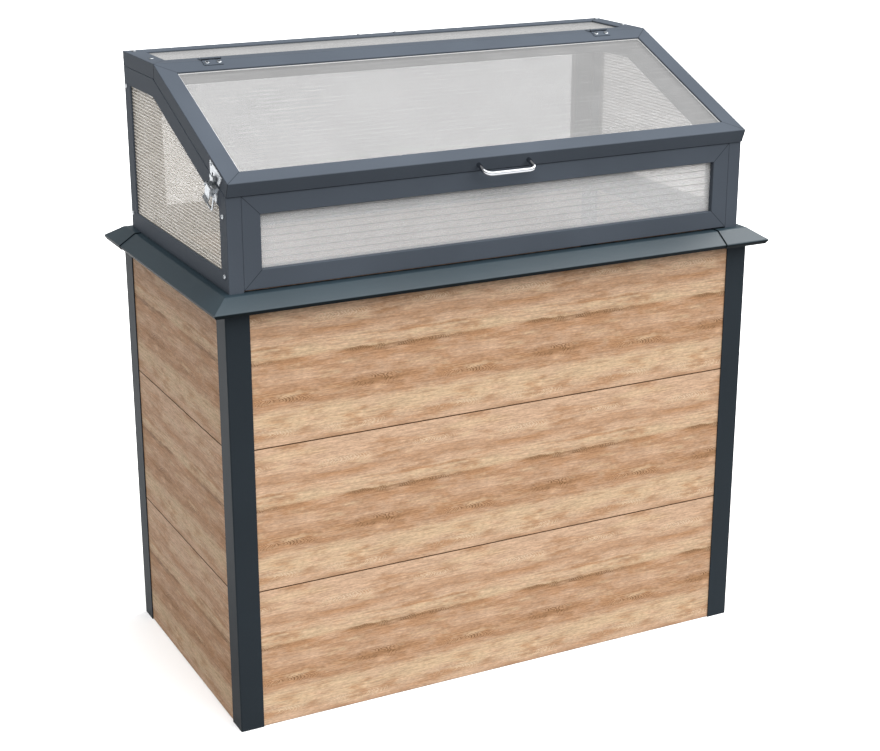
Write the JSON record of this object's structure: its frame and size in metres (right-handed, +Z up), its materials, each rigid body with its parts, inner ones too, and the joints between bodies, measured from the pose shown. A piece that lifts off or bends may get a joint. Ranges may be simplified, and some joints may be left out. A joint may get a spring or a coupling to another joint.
{
  "type": "raised bed with cold frame",
  "caption": "Waist-high raised bed with wood-decor board walls, dark corner posts and a sloping rim, topped by a cold frame with twin-wall panes and a hinged sloping lid.",
  "frame": {"origin": "centre of the part's bounding box, on the ground under the bed", "axes": "+X along the bed's length to the right, +Y from the lid's nose to the back, +Z up"},
  "size_m": [1.0768, 0.5868, 1.1119],
  "materials": {
    "post_coat": "satin powder coat",
    "rim_coat": "satin powder coat",
    "frame_coat": "satin powder coat",
    "board_decor": "wood-grain decor",
    "twin_wall": "translucent ribbed sheet",
    "zinc_plate": "zinc plated",
    "bright_chrome": "polished"
  },
  "bodies": {
    "bed_and_frame": {"back_frame_rails": "frame_coat", "back_frame_stiles": "frame_coat", "board_back_lower": "board_decor", "board_back_middle": "board_decor", "board_back_upper": "board_decor", "board_front_lower": "board_decor", "board_front_middle": "board_decor", "board_front_upper": "board_decor", "board_left_lower": "board_decor", "board_left_middle": "board_decor", "board_left_upper": "board_decor", "board_right_lower": "board_decor", "board_right_middle": "board_decor", "board_right_upper": "board_decor", "front_bottom_rail": "frame_coat", "front_left_stile": "frame_coat", "front_right_stile": "frame_coat", "front_top_rail": "frame_coat", "hinge_frame_leaves": "frame_coat", "hinge_pins": "zinc_plate", "latch_bases": "zinc_plate", "left_back_stile": "frame_coat", "left_bottom_rail": "frame_coat", "left_front_stile": "frame_coat", "left_slope_rail": "frame_coat", "left_top_rail": "frame_coat", "pane_back": "twin_wall", "pane_front": "twin_wall", "pane_left": "twin_wall", "pane_right": "twin_wall", "pane_top": "twin_wall", "post_back_left": "post_coat", "post_back_right": "post_coat", "post_front_left": "post_coat", "post_front_right": "post_coat", "right_back_stile": "frame_coat", "right_bottom_rail": "frame_coat", "right_front_stile": "frame_coat", "right_slope_rail": "frame_coat", "right_top_rail": "frame_coat", "rim_back": "rim_coat", "rim_corner_caps": "rim_coat", "rim_front": "rim_coat", "rim_left": "rim_coat", "rim_right": "rim_coat", "top_frame_ends": "frame_coat", "top_frame_rails": "frame_coat"},
    "lid": {"lid_nose_rail": "frame_coat", "lid_right_stile": "frame_coat", "lid_top_rail": "frame_coat", "lid_left_stile": "frame_coat", "pane_lid": "twin_wall", "hinge_lid_leaves": "frame_coat", "handle": "bright_chrome", "latch_catches": "zinc_plate"},
    "lever_left": {"latch_lever_left": "zinc_plate"},
    "loop_left": {"latch_loop_left": "zinc_plate"},
    "lever_right": {"latch_lever_right": "zinc_plate"},
    "loop_right": {"latch_loop_right": "zinc_plate"}
  },
  "joints": [
    {"name": "lid_hinge", "type": "hinge", "parent": "bed_and_frame", "child": "lid", "pos_m": [0, 0.08, 1.1097], "axis": [-1, 0, 0], "range_deg": [0, 202]},
    {"name": "lever_left_pivot", "type": "hinge", "parent": "bed_and_frame", "child": "lever_left", "pos_m": [-0.504, -0.20195, 0.95023], "axis": [0, 0.9251, 0.3796], "range_deg": [0, 100]},
    {"name": "loop_left_pivot", "type": "hinge", "parent": "lever_left", "child": "loop_left", "pos_m": [-0.502, -0.19892, 0.94283], "axis": [0, 0.9251, 0.3796], "range_deg": [0, 90]},
    {"name": "lever_right_pivot", "type": "hinge", "parent": "bed_and_frame", "child": "lever_right", "pos_m": [0.504, -0.20195, 0.95023], "axis": [0, -0.9251, -0.3796], "range_deg": [0, 100]},
    {"name": "loop_right_pivot", "type": "hinge", "parent": "lever_right", "child": "loop_right", "pos_m": [0.502, -0.19892, 0.94283], "axis": [0, -0.9251, -0.3796], "range_deg": [0, 90]}
  ]
}
